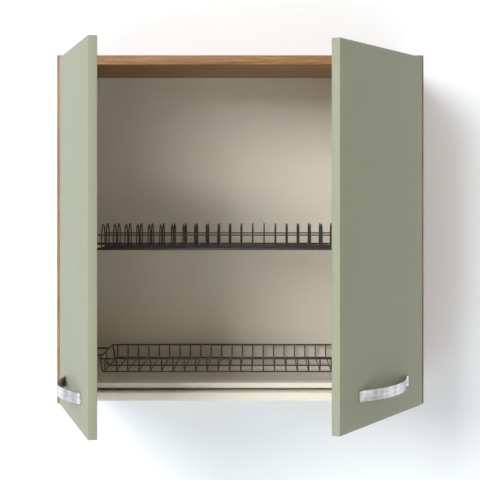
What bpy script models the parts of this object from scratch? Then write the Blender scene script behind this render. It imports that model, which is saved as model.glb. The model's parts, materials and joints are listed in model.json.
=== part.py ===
# Wall-hung dish drying cabinet with two swing doors, a wire plate rack, a wire cup basket and a drip tray.
# Metres, +Z up, the front faces -Y. The origin is the centre of the back face, which lies on the wall.

import math

import bmesh
import bpy
from mathutils import Matrix, Vector

# Carcass
cabinet_width = 0.800
cabinet_height = 0.760
cabinet_depth = 0.320
side_thickness = 0.018
top_thickness = 0.020
bottom_thickness = 0.018
bottom_raise = 0.0055
back_thickness = 0.003
rebate_width = 0.009
clearance = 0.0003
cut_overrun = 0.002
weld_depth = 0.0006

# Doors and their opening angles at rest
door_thickness = 0.018
door_gap = 0.002
door_reveal = 0.002
door_middle_gap = 0.002
door_top_reveal = 0.0055
door_edge_round = 0.0012
left_rest_angle = math.radians(73.0)
right_rest_angle = math.radians(59.5)

# Concealed hinges: places are in from the door's hinged edge and back from the carcass front
hinge_end_distance = 0.100
cup_bore_radius = 0.0175
cup_bore_depth = 0.0140
cup_centre_in = 0.0215
cup_wall = 0.0010
cup_floor = 0.0008
cup_rim_height = 0.0006
flange_half_length = 0.031
flange_in_start = 0.0105
flange_in_end = 0.0325
flange_thickness = 0.0012
flange_screw_offset = 0.024
flange_screw_radius = 0.0021
arm_pivot_in = 0.030
arm_pivot_back = 0.003
cup_pivot_in = 0.011
cup_pivot_back = -0.008
pin_radius = 0.00125
pin_fit = 0.0004
eye_wall = 0.0012
link_thickness = 0.0016
link_half_height = 0.0060
link_turn_share = 0.45
link_path_shares = ((0.0, 0.0), (-0.03, 0.18), (0.08, 0.32), (0.28, 0.43), (0.53, 0.44), (0.75, 0.30), (1.0, 0.0))
cheek_thickness = 0.0015
cheek_radius = 0.0034
arm_length = 0.062
arm_web_start = 0.011
plate_thickness = 0.0030
plate_half_height = 0.026
plate_half_length = 0.012
plate_centre_back = 0.037
plate_screw_offset = 0.016
plate_screw_radius = 0.0022

# Bow handles
handle_hole_spacing = 0.224
handle_height = 0.022
handle_thickness = 0.0022
handle_foot_length = 0.012
handle_bow_reach = 0.0285
handle_above_bottom = 0.063
handle_bow_steps = 20
handle_screw_radius = 0.0020
handle_screw_head_radius = 0.0042
handle_screw_head_height = 0.0022

# Door bumpers
bumper_radius = 0.004
bumper_thickness = 0.0013
bumper_side_distance = 0.020

# Plate rack
wire_radius = 0.0015
rail_radius = 0.0027
rack_base_height = 0.335
rack_front_depth = 0.045
rack_back_gap = 0.020
hoop_height = 0.0525
front_hoop_start = 0.080
front_hoop_end = 0.136
back_hoop_start = 0.163
back_hoop_end = 0.212
hoop_rail_height = 0.0295
hoop_rail_side_gap = 0.0566
hoop_steps = 4
divider_pitch = 0.0261
rack_end_gap = 0.003

# Cup basket
basket_rim_height = 0.0889
basket_floor_height = 0.0614
basket_front_depth = 0.0615
basket_back_gap = 0.0165
basket_middle_depth = 0.1645
basket_side_gap = 0.065
basket_floor_inset = 0.0067
basket_rim_radius = 0.0018
basket_wire_pitch = 0.0253
basket_bend_radius = 0.005
basket_corner_radius = 0.008
basket_ear_front_depth = 0.120
basket_ear_back_depth = 0.240
basket_ear_radius = 0.0022

# Rack clips on the side panels
clip_length = 0.018
clip_half_width = 0.009
clip_wall_below = 0.008
clip_rise = 0.0035

# Drip tray and its runners
tray_top_height = 0.0404
tray_height = 0.011
tray_wall = 0.0018
tray_front_depth = 0.025
tray_back_gap = 0.006
tray_side_clearance = 0.002
basin_front_depth = 0.066
basin_back_gap = 0.020
basin_side_gap = 0.082
basin_corner_radius = 0.030
basin_depth = 0.0092
runner_width = 0.012
runner_front_depth = 0.045
runner_back_gap = 0.015

# Hanging brackets in the top back corners
hanger_width = 0.032
hanger_height = 0.062
hanger_depth = 0.022
hanger_screw_radius = 0.0045
hanger_screw_depth = 0.004
adjuster_drop_shares = (("upper", 0.0), ("lower", 0.52))
hook_thickness = 0.0025
hook_height = 0.022
hook_tail = 0.014
hook_drop = 0.018
hook_notch_start = 0.0024
hook_notch_width = 0.0030
hook_notch_height = 0.009
hook_back_gap = 0.0006
cutout_width = 0.016
cutout_height = 0.034

floor_z = -cabinet_height / 2
roof_z = cabinet_height / 2
inner_half = cabinet_width / 2 - side_thickness
back_front_y = -back_thickness
door_width = (cabinet_width - 2 * door_reveal - door_middle_gap) / 2
rack_back_depth = cabinet_depth - rack_back_gap
hoop_rail_half_length = inner_half - hoop_rail_side_gap
divider_count = int(2 * hoop_rail_half_length / divider_pitch) + 1
basket_back_depth = cabinet_depth - basket_back_gap
basket_half_length = inner_half - basket_side_gap
basket_floor_half_length = basket_half_length - basket_floor_inset
basket_wire_count = int(2 * basket_floor_half_length / basket_wire_pitch) + 1
tray_back_depth = cabinet_depth - tray_back_gap
basin_back_depth = cabinet_depth - basin_back_gap
basin_half_length = inner_half - basin_side_gap
runner_back_depth = cabinet_depth - runner_back_gap


# Shapes

def clear_scene():
    for old in list(bpy.data.objects):
        bpy.data.objects.remove(old, do_unlink=True)


def make_material(name, colour, roughness, metallic=0.0):
    made = bpy.data.materials.new(name)
    made.use_nodes = True
    made.diffuse_color = (*colour, 1.0)
    shader = made.node_tree.nodes["Principled BSDF"]
    shader.inputs["Base Color"].default_value = (*colour, 1.0)
    shader.inputs["Roughness"].default_value = roughness
    shader.inputs["Metallic"].default_value = metallic
    return made


def make_object(name, mesh, material=None, parent=None):
    """A new object holding the bmesh, with its normals facing out."""
    bmesh.ops.recalc_face_normals(mesh, faces=mesh.faces[:])
    data = bpy.data.meshes.new(name)
    mesh.to_mesh(data)
    mesh.free()
    made = bpy.data.objects.new(name, data)
    bpy.context.collection.objects.link(made)
    if material:
        data.materials.append(material)
    if parent:
        made.parent = parent
    return made


def add_box(mesh, low, high):
    """A box between two corners, in either order along each axis."""
    lows = [min(a, b) for a, b in zip(low, high)]
    highs = [max(a, b) for a, b in zip(low, high)]
    size = Vector(b - a for a, b in zip(lows, highs))
    centre = Vector((a + b) / 2 for a, b in zip(lows, highs))
    place = Matrix.Translation(centre) @ Matrix.Diagonal((*size, 1.0))
    bmesh.ops.create_cube(mesh, size=1.0, matrix=place)


def box_object(name, low, high, material=None, parent=None):
    mesh = bmesh.new()
    add_box(mesh, low, high)
    return make_object(name, mesh, material, parent)


def add_cylinder(mesh, start, end, radius, sides=16):
    start, end = Vector(start), Vector(end)
    axis = end - start
    turn = axis.to_track_quat("Z", "Y").to_matrix().to_4x4()
    place = Matrix.Translation((start + end) / 2) @ turn
    bmesh.ops.create_cone(
        mesh, cap_ends=True, segments=sides, radius1=radius, radius2=radius,
        depth=axis.length, matrix=place,
    )


def cylinder_object(name, start, end, radius, sides=16, material=None, parent=None):
    mesh = bmesh.new()
    add_cylinder(mesh, start, end, radius, sides)
    return make_object(name, mesh, material, parent)


def add_prism(mesh, outline, low, high, place):
    """Extrudes a flat outline from low to high. place(a, b, c) turns outline and height into a point."""
    lower = [mesh.verts.new(place(a, b, low)) for a, b in outline]
    upper = [mesh.verts.new(place(a, b, high)) for a, b in outline]
    mesh.faces.new(lower)
    mesh.faces.new(upper)
    count = len(outline)
    for i in range(count):
        j = (i + 1) % count
        mesh.faces.new((lower[i], lower[j], upper[j], upper[i]))


def ribbon(points, thickness):
    """The closed outline of a strip of even thickness along a flat line of points."""
    left, right = [], []
    last = len(points) - 1
    for i, point in enumerate(points):
        here = Vector(point)
        before = (here - Vector(points[i - 1])).normalized() if i else None
        after = (Vector(points[i + 1]) - here).normalized() if i < last else None
        before = before or after
        after = after or before
        middle = (before + after).normalized()
        normal = Vector((-middle.y, middle.x))
        reach = thickness / 2 / max(middle.dot(after), 0.5)
        left.append(tuple(here + normal * reach))
        right.append(tuple(here - normal * reach))
    return left + right[::-1]


def arc(centre, radius, start, end, steps):
    """Points on an arc between two angles in degrees, both ends included."""
    points = []
    for i in range(steps + 1):
        angle = math.radians(start + (end - start) * i / steps)
        points.append((centre[0] + radius * math.cos(angle), centre[1] + radius * math.sin(angle)))
    return points


def add_wire(mesh, points, radius, sides=6, closed=False):
    """A round wire through the points, with mitred bends and capped ends."""
    points = [Vector(p) for p in points]
    count = len(points)
    rings = []
    normal = None
    for i, point in enumerate(points):
        before = point - points[i - 1] if closed or i else points[1] - point
        after = points[(i + 1) % count] - point if closed or i < count - 1 else before
        before, after = before.normalized(), after.normalized()
        along = (before + after).normalized()
        if normal is None:
            helper = Vector((0, 0, 1)) if abs(before.z) < 0.9 else Vector((1, 0, 0))
            normal = before.cross(helper).normalized()
        across = before.cross(normal)
        ring = []
        for k in range(sides):
            angle = math.tau * (k + 0.5) / sides
            spoke = (normal * math.cos(angle) + across * math.sin(angle)) * radius
            slide = -spoke.dot(along) / before.dot(along)
            ring.append(mesh.verts.new(point + spoke + before * slide))
        rings.append(ring)
        normal.rotate(before.rotation_difference(after))
    pairs = list(zip(rings, rings[1:]))
    if closed:
        pairs.append((rings[-1], rings[0]))
    else:
        mesh.faces.new(rings[0])
        mesh.faces.new(rings[-1])
    for one, two in pairs:
        for k in range(sides):
            m = (k + 1) % sides
            mesh.faces.new((one[k], one[m], two[m], two[k]))


def boolean(target, helper, operation):
    """Leaves a live Boolean on the target and hides its helper."""
    cut = target.modifiers.new(helper.name, "BOOLEAN")
    cut.operation = operation
    cut.solver = "EXACT"
    cut.object = helper
    helper.hide_render = True
    helper.display_type = "WIRE"
    if target.parent and not helper.parent:
        helper.parent = target.parent


def cut_from(target, helper):
    boolean(target, helper, "DIFFERENCE")


def join_to(target, helper):
    boolean(target, helper, "UNION")


def soften(target, width, segments=1):
    edge = target.modifiers.new("soft_edges", "BEVEL")
    edge.width = width
    edge.segments = segments
    edge.limit_method = "ANGLE"


def shade_round(target):
    target.data.shade_smooth()
    target.data.set_sharp_from_angle(angle=math.radians(40))


# Carcass

def build_carcass(paint, board, wood):
    front_y = -cabinet_depth
    top_low = roof_z - top_thickness
    for side, name in ((-1, "left_side_panel"), (1, "right_side_panel")):
        panel = box_object(
            name, (side * inner_half, front_y, floor_z), (side * cabinet_width / 2, 0, roof_z), wood,
        )
        rebate = box_object(
            name + "_rebate",
            (side * (inner_half - cut_overrun), back_front_y - clearance, floor_z - cut_overrun),
            (side * (inner_half + rebate_width), cut_overrun, roof_z + cut_overrun),
        )
        cut_from(panel, rebate)
    half = inner_half - clearance
    panel_back = back_front_y - clearance
    box_object("top_panel", (-half, front_y, top_low), (half, panel_back, roof_z), wood)
    bottom_low = floor_z + bottom_raise
    box_object(
        "bottom_panel", (-half, front_y, bottom_low), (half, panel_back, bottom_low + bottom_thickness), board,
    )
    half = inner_half + rebate_width - clearance
    back = box_object("back_panel", (-half, back_front_y, bottom_low), (half, 0, roof_z), paint)
    for side, name in ((-1, "left"), (1, "right")):
        x, z = hook_place(side)
        cutout = box_object(
            name + "_hook_cutout",
            (x - cutout_width / 2, back_front_y - cut_overrun, z - cutout_height / 2),
            (x + cutout_width / 2, cut_overrun, z + cutout_height / 2),
        )
        cut_from(back, cutout)


def hook_place(side):
    """Where the hook comes through the back panel: its x and the middle of its height."""
    x = side * (inner_half - clearance - hanger_width / 2)
    return x, roof_z - top_thickness - clearance - hook_drop


def build_hangers(plastic, steel):
    for side, name in ((-1, "left"), (1, "right")):
        x, z = hook_place(side)
        top = roof_z - top_thickness - clearance
        back_y = back_front_y - clearance
        housing = box_object(
            name + "_hanger_housing",
            (x - hanger_width / 2, back_y, top),
            (x + hanger_width / 2, back_y - hanger_depth, top - hanger_height), plastic,
        )
        half_slot = hook_thickness / 2 + clearance
        slot = box_object(
            name + "_hanger_slot",
            (x - half_slot, back_y + cut_overrun, z - hook_height / 2 - clearance),
            (x + half_slot, back_y - hook_tail - clearance, z + hook_height / 2 + clearance),
        )
        cut_from(housing, slot)
        face_y = back_y - hanger_depth
        for label, drop_share in adjuster_drop_shares:
            screw_z = z - drop_share * hanger_height
            recess = cylinder_object(
                f"{name}_{label}_adjuster_recess",
                (x, face_y - cut_overrun, screw_z), (x, face_y + hanger_screw_depth, screw_z),
                hanger_screw_radius,
            )
            cut_from(housing, recess)
        build_hook(name + "_hanger_hook", x, z, steel)


def build_hook(name, x, z, steel):
    """A flat steel hook with a notch from below, behind the line of the back panel."""
    front = back_front_y - clearance - hook_tail
    notch_back = -hook_notch_start
    notch_front = notch_back - hook_notch_width
    low, high = z - hook_height / 2, z + hook_height / 2
    outline = [
        (front, low), (notch_front, low), (notch_front, low + hook_notch_height),
        (notch_back, low + hook_notch_height), (notch_back, low), (-hook_back_gap, low),
        (-hook_back_gap, high), (front, high),
    ]
    mesh = bmesh.new()
    add_prism(mesh, outline, -hook_thickness / 2, hook_thickness / 2, lambda y, up, c: (x + c, y, up))
    make_object(name, mesh, steel)


# Drip tray

def rounded_outline(half_x, y_front, y_back, radius, steps=6):
    outline = []
    corners = (
        (half_x - radius, y_back - radius, 0), (radius - half_x, y_back - radius, 90),
        (radius - half_x, y_front + radius, 180), (half_x - radius, y_front + radius, 270),
    )
    for x, y, start in corners:
        outline += arc((x, y), radius, start, start + 90, steps)
    return outline


def build_tray(plastic):
    top = floor_z + tray_top_height
    low = top - tray_height
    front_y = tray_front_depth - cabinet_depth
    back_y = tray_back_depth - cabinet_depth
    half = inner_half - tray_side_clearance
    tray = box_object("drip_tray", (-half, front_y, low), (half, back_y, top), plastic)
    under = box_object(
        "tray_underside",
        (-half + tray_wall, front_y + tray_wall, low - cut_overrun),
        (half - tray_wall, back_y - tray_wall, top - tray_wall),
    )
    basin_front = basin_front_depth - cabinet_depth
    basin_back = basin_back_depth - cabinet_depth
    mesh = bmesh.new()
    outline = rounded_outline(
        basin_half_length + tray_wall, basin_front - tray_wall, basin_back + tray_wall,
        basin_corner_radius + tray_wall,
    )
    add_prism(mesh, outline, low - 2 * cut_overrun, top, lambda x, y, z: (x, y, z))
    basin_outside = make_object("tray_basin_outside", mesh)
    cut_from(under, basin_outside)
    cut_from(tray, under)
    mesh = bmesh.new()
    outline = rounded_outline(basin_half_length, basin_front, basin_back, basin_corner_radius)
    add_prism(mesh, outline, top - basin_depth, top + cut_overrun, lambda x, y, z: (x, y, z))
    cut_from(tray, make_object("tray_basin", mesh))


def build_tray_runners(plastic):
    low = floor_z + bottom_raise + bottom_thickness + clearance
    high = floor_z + tray_top_height - tray_height - clearance
    for side, name in ((-1, "left_tray_runner"), (1, "right_tray_runner")):
        wall = inner_half - clearance
        box_object(
            name,
            (side * wall, runner_front_depth - cabinet_depth, low),
            (side * (wall - runner_width), runner_back_depth - cabinet_depth, high), plastic,
        )


# Wire racks

def hoop_points(x, start, end, base):
    """One hoop, standing across the depth: up past the hoop rail, over a half ellipse and down."""
    radius = (end - start) / 2
    middle = (start + end) / 2 - cabinet_depth
    spring = hoop_rail_height + 2 * wire_radius
    rise_share = (hoop_height - spring) / radius
    points = [(x, start - cabinet_depth, base)]
    points += [
        (x, middle + a, base + spring + b * rise_share) for a, b in arc((0, 0), radius, 180, 0, hoop_steps)
    ]
    points.append((x, end - cabinet_depth, base))
    return points


def build_plate_rack(wire):
    base = floor_z + rack_base_height
    rails = bmesh.new()
    rail_half = inner_half - rack_end_gap
    for depth in (rack_front_depth, rack_back_depth):
        y = depth - cabinet_depth
        add_wire(rails, [(-rail_half, y, base), (rail_half, y, base)], rail_radius, 8)
    seat = wire_radius * 2 - weld_depth
    last_depth = (back_hoop_end + rack_back_depth) / 2
    for depth in (front_hoop_start, front_hoop_end, back_hoop_start, back_hoop_end, last_depth):
        y = depth - cabinet_depth
        ends = [(-hoop_rail_half_length, y, base - seat), (hoop_rail_half_length, y, base - seat)]
        add_wire(rails, ends, wire_radius, 5)
    height = base + hoop_rail_height
    for depth in (front_hoop_start - seat, back_hoop_end + seat):
        y = depth - cabinet_depth
        ends = [(-hoop_rail_half_length, y, height), (hoop_rail_half_length, y, height)]
        add_wire(rails, ends, wire_radius, 5)
    rack = make_object("plate_rack", rails, wire)
    dividers = bmesh.new()
    for i in range(divider_count):
        x = (i - (divider_count - 1) / 2) * divider_pitch
        points = [(x, rack_front_depth - cabinet_depth, base)]
        points += hoop_points(x, front_hoop_start, front_hoop_end, base)
        points += hoop_points(x, back_hoop_start, back_hoop_end, base)
        points.append((x, rack_back_depth - cabinet_depth, base))
        add_wire(dividers, points, wire_radius, 5)
    join_to(rack, make_object("rack_dividers", dividers))
    shade_round(rack)


def build_cup_basket(wire):
    rim = floor_z + basket_rim_height
    low = floor_z + basket_floor_height
    front = basket_front_depth - cabinet_depth
    back = basket_back_depth - cabinet_depth
    inset = basket_rim_radius + wire_radius - weld_depth
    frame = bmesh.new()
    outline = rounded_outline(basket_half_length, front, back, basket_corner_radius, 3)
    add_wire(frame, [(x, y, rim) for x, y in outline], basket_rim_radius, 6, closed=True)
    seat = 2 * wire_radius - weld_depth
    bend = basket_bend_radius
    for y in (front + inset + bend, basket_middle_depth - cabinet_depth, back - inset - bend):
        top_x, low_x = basket_half_length - inset, basket_floor_half_length
        points = [(-top_x, y, rim), (-low_x, y, low - seat), (low_x, y, low - seat), (top_x, y, rim)]
        add_wire(frame, points, wire_radius, 5)
    basket = make_object("cup_basket", frame, wire)
    ribs = bmesh.new()
    for i in range(basket_wire_count):
        x = (i - (basket_wire_count - 1) / 2) * basket_wire_pitch
        near, far = front + inset, back - inset
        points = [
            (x, near, rim), (x, near, low + bend), (x, near + bend, low),
            (x, far - bend, low), (x, far, low + bend), (x, far, rim),
        ]
        add_wire(ribs, points, wire_radius, 5)
    for side in (-1, 1):
        near = side * basket_half_length
        far = side * (inner_half - rack_end_gap - basket_ear_radius)
        ear_front = basket_ear_front_depth - cabinet_depth
        ear_back = basket_ear_back_depth - cabinet_depth
        step = side * bend
        points = [
            (near, ear_front, rim), (far - step, ear_front, rim), (far, ear_front + bend, rim),
            (far, ear_back - bend, rim), (far - step, ear_back, rim), (near, ear_back, rim),
        ]
        add_wire(ribs, points, basket_ear_radius, 6)
    join_to(basket, make_object("basket_ribs", ribs))
    shade_round(basket)


def build_rack_clips(plastic):
    """Open-topped cradles on the side panels: one under each end of both rails."""
    rail_z = floor_z + rack_base_height
    wall = inner_half - clearance
    for depth, row in ((rack_front_depth, "front"), (rack_back_depth, "back")):
        y = depth - cabinet_depth
        slot_half = rail_radius + clearance
        slot_low = rail_z - rail_radius - clearance
        for side, name in ((-1, "left"), (1, "right")):
            clip = box_object(
                f"{name}_{row}_rack_clip",
                (side * wall, y - clip_half_width, slot_low - clip_wall_below),
                (side * (wall - clip_length), y + clip_half_width, rail_z + clip_rise), plastic,
            )
            groove = box_object(
                f"{name}_{row}_rack_groove",
                (side * (inner_half - rack_end_gap + clearance), y - slot_half, slot_low),
                (side * (wall - clip_length - cut_overrun), y + slot_half, rail_z + clip_rise + cut_overrun),
            )
            cut_from(clip, groove)


def build_basket_cradles(plastic):
    """A long open-topped cradle on each side panel, under the basket's ear."""
    rim = floor_z + basket_rim_height
    ear_x = inner_half - rack_end_gap - basket_ear_radius
    slot_half = basket_ear_radius + clearance
    slot_low = rim - slot_half
    inset = basket_bend_radius + basket_ear_radius + cut_overrun
    front = basket_ear_front_depth - cabinet_depth + inset
    back = basket_ear_back_depth - cabinet_depth - inset
    wall = inner_half - clearance
    for side, name in ((-1, "left_basket_cradle"), (1, "right_basket_cradle")):
        cradle = box_object(
            name, (side * wall, front, slot_low - clip_wall_below),
            (side * (wall - clip_length), back, rim + clip_rise), plastic,
        )
        groove = box_object(
            name + "_groove",
            (side * (ear_x + slot_half), front - cut_overrun, slot_low),
            (side * (ear_x - slot_half), back + cut_overrun, rim + clip_rise + cut_overrun),
        )
        cut_from(cradle, groove)


# Doors: modelled closed about their own pivots, which empties turn to the rest angles

def make_axes(side, name, angle):
    """The empties on the two pivots of one door's hinges."""
    link_axis = bpy.data.objects.new(name + "_link_axis", None)
    link_axis.location = (
        side * (cabinet_width / 2 - door_reveal - arm_pivot_in), arm_pivot_back - cabinet_depth, 0,
    )
    link_axis.rotation_euler = (0, 0, -side * link_turn_share * angle)
    door_axis = bpy.data.objects.new(name + "_door_axis", None)
    door_axis.parent = link_axis
    door_axis.location = (side * (arm_pivot_in - cup_pivot_in), cup_pivot_back - arm_pivot_back, 0)
    door_axis.rotation_euler = (0, 0, side * (1 + link_turn_share) * angle)
    for axis in (link_axis, door_axis):
        bpy.context.collection.objects.link(axis)
    return link_axis, door_axis


def door_place(side):
    """Turns a place in from the hinged edge, back from the carcass front and up into the door's frame."""
    return lambda u, v, z: (side * (cup_pivot_in - u), v - cup_pivot_back, z)


def link_place(side):
    return lambda u, v, z: (side * (arm_pivot_in - u), v - arm_pivot_back, z)


def carcass_place(side):
    return lambda u, v, z: (side * (cabinet_width / 2 - door_reveal - u), v - cabinet_depth, z)


def hinge_heights():
    top = roof_z - door_top_reveal
    return (("upper", top - hinge_end_distance), ("lower", floor_z + hinge_end_distance))


def build_door(side, name, axis, paint, rubber):
    place = door_place(side)
    inner, outer = -door_gap, -door_gap - door_thickness
    top = roof_z - door_top_reveal
    door = box_object(
        name + "_door", place(0, inner, floor_z), place(door_width, outer, top), paint, axis,
    )
    soften(door, door_edge_round)
    for label, z in hinge_heights():
        bore = cylinder_object(
            f"{name}_{label}_cup_bore",
            place(cup_centre_in, inner + cut_overrun, z), place(cup_centre_in, inner - cup_bore_depth, z),
            cup_bore_radius, 24,
        )
        cut_from(door, bore)
    handle_z = floor_z + handle_above_bottom
    for sign, label in ((-1, "inner"), (1, "outer")):
        u = door_width / 2 + sign * handle_hole_spacing / 2
        hole = cylinder_object(
            f"{name}_{label}_handle_hole",
            place(u, inner + cut_overrun, handle_z), place(u, outer - cut_overrun, handle_z),
            handle_screw_radius + clearance, 12,
        )
        cut_from(door, hole)
    face = inner + clearance
    u = door_width - bumper_side_distance
    heights = (
        ("upper", roof_z - top_thickness / 2), ("lower", floor_z + bottom_raise + bottom_thickness / 2),
    )
    for label, z in heights:
        cylinder_object(
            f"{name}_{label}_bumper", place(u, face, z), place(u, face + bumper_thickness, z),
            bumper_radius, 16, rubber, axis,
        )


def handle_line():
    """The middle line of the strap, as places along the door and out from it: a bow between two flat feet."""
    half_foot = handle_foot_length / 2
    lie = handle_thickness / 2
    foot_end = handle_hole_spacing / 2 + half_foot
    foot_start = handle_hole_spacing / 2 - half_foot
    bow = []
    for i in range(handle_bow_steps + 1):
        along = foot_start * (1 - 2 * i / handle_bow_steps)
        drop = (handle_bow_reach - lie) * (along / foot_start) ** 2
        bow.append((along, handle_bow_reach - drop))
    return [(foot_end, lie)] + bow + [(-foot_end, lie)]


def build_handle(side, name, axis, steel):
    place = door_place(side)
    outer = -door_gap - door_thickness - clearance
    middle_z = floor_z + handle_above_bottom
    mesh = bmesh.new()
    add_prism(
        mesh, ribbon(handle_line(), handle_thickness), -handle_height / 2, handle_height / 2,
        lambda a, reach, c: place(door_width / 2 + a, outer - reach, middle_z + c),
    )
    handle = make_object(name + "_handle", mesh, steel, axis)
    shade_round(handle)
    for sign, label in ((-1, "inner"), (1, "outer")):
        u = door_width / 2 + sign * handle_hole_spacing / 2
        face = -door_gap + clearance
        mesh = bmesh.new()
        head_end = face + handle_screw_head_height
        add_cylinder(mesh, place(u, face, middle_z), place(u, head_end, middle_z), handle_screw_head_radius)
        screw = make_object(f"{name}_{label}_handle_screw", mesh, steel, axis)
        shank = cylinder_object(
            f"{name}_{label}_screw_shank",
            place(u, head_end - weld_depth, middle_z), place(u, outer + clearance, middle_z),
            handle_screw_radius, 12,
        )
        join_to(screw, shank)


# Hinges

def build_cup(side, name, z, axis, steel):
    place = door_place(side)
    face = -door_gap
    low = face - cup_bore_depth + clearance
    outer_radius = cup_bore_radius - clearance
    inner_radius = outer_radius - cup_wall
    flange_low = face + clearance
    cup = cylinder_object(
        name + "_hinge_cup", place(cup_centre_in, low, z), place(cup_centre_in, face + cup_rim_height, z),
        outer_radius, 24, steel, axis,
    )
    flange = box_object(
        name + "_cup_flange", place(flange_in_start, flange_low, z - flange_half_length),
        place(flange_in_end, flange_low + flange_thickness, z + flange_half_length),
    )
    join_to(cup, flange)
    hollow = cylinder_object(
        name + "_cup_hollow", place(cup_centre_in, low + cup_floor, z),
        place(cup_centre_in, flange_low + flange_thickness + cut_overrun, z), inner_radius, 24,
    )
    cut_from(cup, hollow)
    for sign, label in ((-1, "lower"), (1, "upper")):
        screw_z = z + sign * flange_screw_offset
        hole = cylinder_object(
            f"{name}_cup_{label}_screw_hole",
            place(cup_centre_in, flange_low - cut_overrun, screw_z),
            place(cup_centre_in, flange_low + flange_thickness + cut_overrun, screw_z),
            flange_screw_radius, 12,
        )
        cut_from(cup, hole)
    reach = math.sqrt(inner_radius ** 2 - (cup_centre_in - cup_pivot_in) ** 2) + cup_wall / 2
    pin = cylinder_object(
        name + "_cup_pin", place(cup_pivot_in, cup_pivot_back, z - reach),
        place(cup_pivot_in, cup_pivot_back, z + reach), pin_radius, 12,
    )
    join_to(cup, pin)
    shade_round(cup)


def build_link(side, name, z, axis, steel):
    """A cranked strip that wraps round the door's edge as it opens, with an eye at each pivot."""
    place = link_place(side)
    start = Vector((cup_pivot_in, cup_pivot_back))
    span = Vector((arm_pivot_in, arm_pivot_back)) - start
    across = Vector((span.y, -span.x))
    line = [tuple(start + span * a + across * b) for a, b in link_path_shares]
    low, high = z - link_half_height, z + link_half_height
    mesh = bmesh.new()
    add_prism(mesh, ribbon(line, link_thickness), low, high, place)
    link = make_object(name + "_hinge_link", mesh, steel, axis)
    for end, label in ((line[0], "cup"), (line[-1], "arm")):
        eye = cylinder_object(
            f"{name}_{label}_eye", place(*end, low), place(*end, high), pin_radius + pin_fit + eye_wall, 16,
        )
        join_to(link, eye)
    for end, label in ((line[0], "cup"), (line[-1], "arm")):
        bore = cylinder_object(
            f"{name}_{label}_eye_bore", place(*end, low - cut_overrun), place(*end, high + cut_overrun),
            pin_radius + pin_fit, 16,
        )
        cut_from(link, bore)
    shade_round(link)


def build_arm(side, name, z, steel):
    """A channel-shaped arm over the mounting plate's spine, forked round the link's eye."""
    place = carcass_place(side)
    wall = side_thickness - door_reveal
    base = wall + plate_thickness + 2 * clearance
    top = arm_pivot_in + cheek_radius
    slot_half = link_half_height + 2 * clearance
    half = slot_half + cheek_thickness
    nose = arc((arm_pivot_in, arm_pivot_back), cheek_radius, 180, 360, 8)
    outline = nose + [(top, arm_length), (base, arm_length), (base, arm_web_start + cheek_radius)]
    mesh = bmesh.new()
    add_prism(mesh, outline, z - half, z + half, place)
    arm = make_object(name + "_hinge_arm", mesh, steel)
    fork = box_object(
        name + "_arm_fork",
        place(base - cut_overrun, arm_pivot_back - cheek_radius - cut_overrun, z - slot_half),
        place(top + cut_overrun, arm_web_start, z + slot_half),
    )
    cut_from(arm, fork)
    channel = box_object(
        name + "_arm_channel",
        place(base - cut_overrun, arm_web_start + cheek_thickness, z - slot_half),
        place(top - cheek_thickness, arm_length - cheek_thickness, z + slot_half),
    )
    cut_from(arm, channel)
    reach = slot_half + cheek_thickness / 2
    pin = cylinder_object(
        name + "_arm_pin", place(arm_pivot_in, arm_pivot_back, z - reach),
        place(arm_pivot_in, arm_pivot_back, z + reach), pin_radius, 12,
    )
    join_to(arm, pin)
    shade_round(arm)


def build_mounting_plate(side, name, z, steel):
    place = carcass_place(side)
    low = side_thickness - door_reveal + clearance
    high = low + plate_thickness
    spine_half = link_half_height + clearance
    spine_start = arm_web_start + cheek_thickness + clearance
    spine_end = arm_length - cheek_thickness - clearance
    spine_high = arm_pivot_in + cheek_radius - cheek_thickness - clearance
    plate = box_object(
        name + "_mounting_plate", place(low, plate_centre_back - plate_half_length, z - plate_half_height),
        place(high, plate_centre_back + plate_half_length, z + plate_half_height), steel,
    )
    spine = box_object(
        name + "_plate_spine", place(low + plate_thickness / 2, spine_start, z - spine_half),
        place(spine_high, spine_end, z + spine_half),
    )
    join_to(plate, spine)
    for sign, label in ((-1, "lower"), (1, "upper")):
        screw_z = z + sign * plate_screw_offset
        hole = cylinder_object(
            f"{name}_plate_{label}_screw_hole",
            place(low - cut_overrun, plate_centre_back, screw_z),
            place(high + cut_overrun, plate_centre_back, screw_z), plate_screw_radius, 12,
        )
        cut_from(plate, hole)


def build_cabinet():
    clear_scene()
    wood = make_material("wood_veneer", (0.42, 0.23, 0.115), 0.5)
    green = make_material("sage_paint", (0.50, 0.54, 0.44), 0.45)
    cream = make_material("cream_board", (0.76, 0.72, 0.63), 0.5)
    white = make_material("cream_plastic", (0.80, 0.77, 0.70), 0.4)
    wire = make_material("graphite_wire", (0.045, 0.045, 0.045), 0.35, 0.8)
    steel = make_material("hinge_steel", (0.55, 0.55, 0.56), 0.3, 1.0)
    brushed = make_material("brushed_steel", (0.68, 0.67, 0.66), 0.28, 1.0)
    rubber = make_material("clear_rubber", (0.60, 0.60, 0.58), 0.6)
    build_carcass(cream, cream, wood)
    build_hangers(white, steel)
    build_tray(white)
    build_tray_runners(white)
    build_plate_rack(wire)
    build_cup_basket(wire)
    build_rack_clips(white)
    build_basket_cradles(white)
    for side, name, angle in ((-1, "left", left_rest_angle), (1, "right", right_rest_angle)):
        link_axis, door_axis = make_axes(side, name, angle)
        build_door(side, name, door_axis, green, rubber)
        build_handle(side, name, door_axis, brushed)
        for label, z in hinge_heights():
            hinge = f"{name}_{label}"
            build_cup(side, hinge, z, door_axis, steel)
            build_link(side, hinge, z, link_axis, steel)
            build_arm(side, hinge, z, steel)
            build_mounting_plate(side, hinge, z, steel)


build_cabinet()
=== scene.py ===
import json
import math

import bmesh
import bpy
from mathutils import Matrix, Vector


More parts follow.
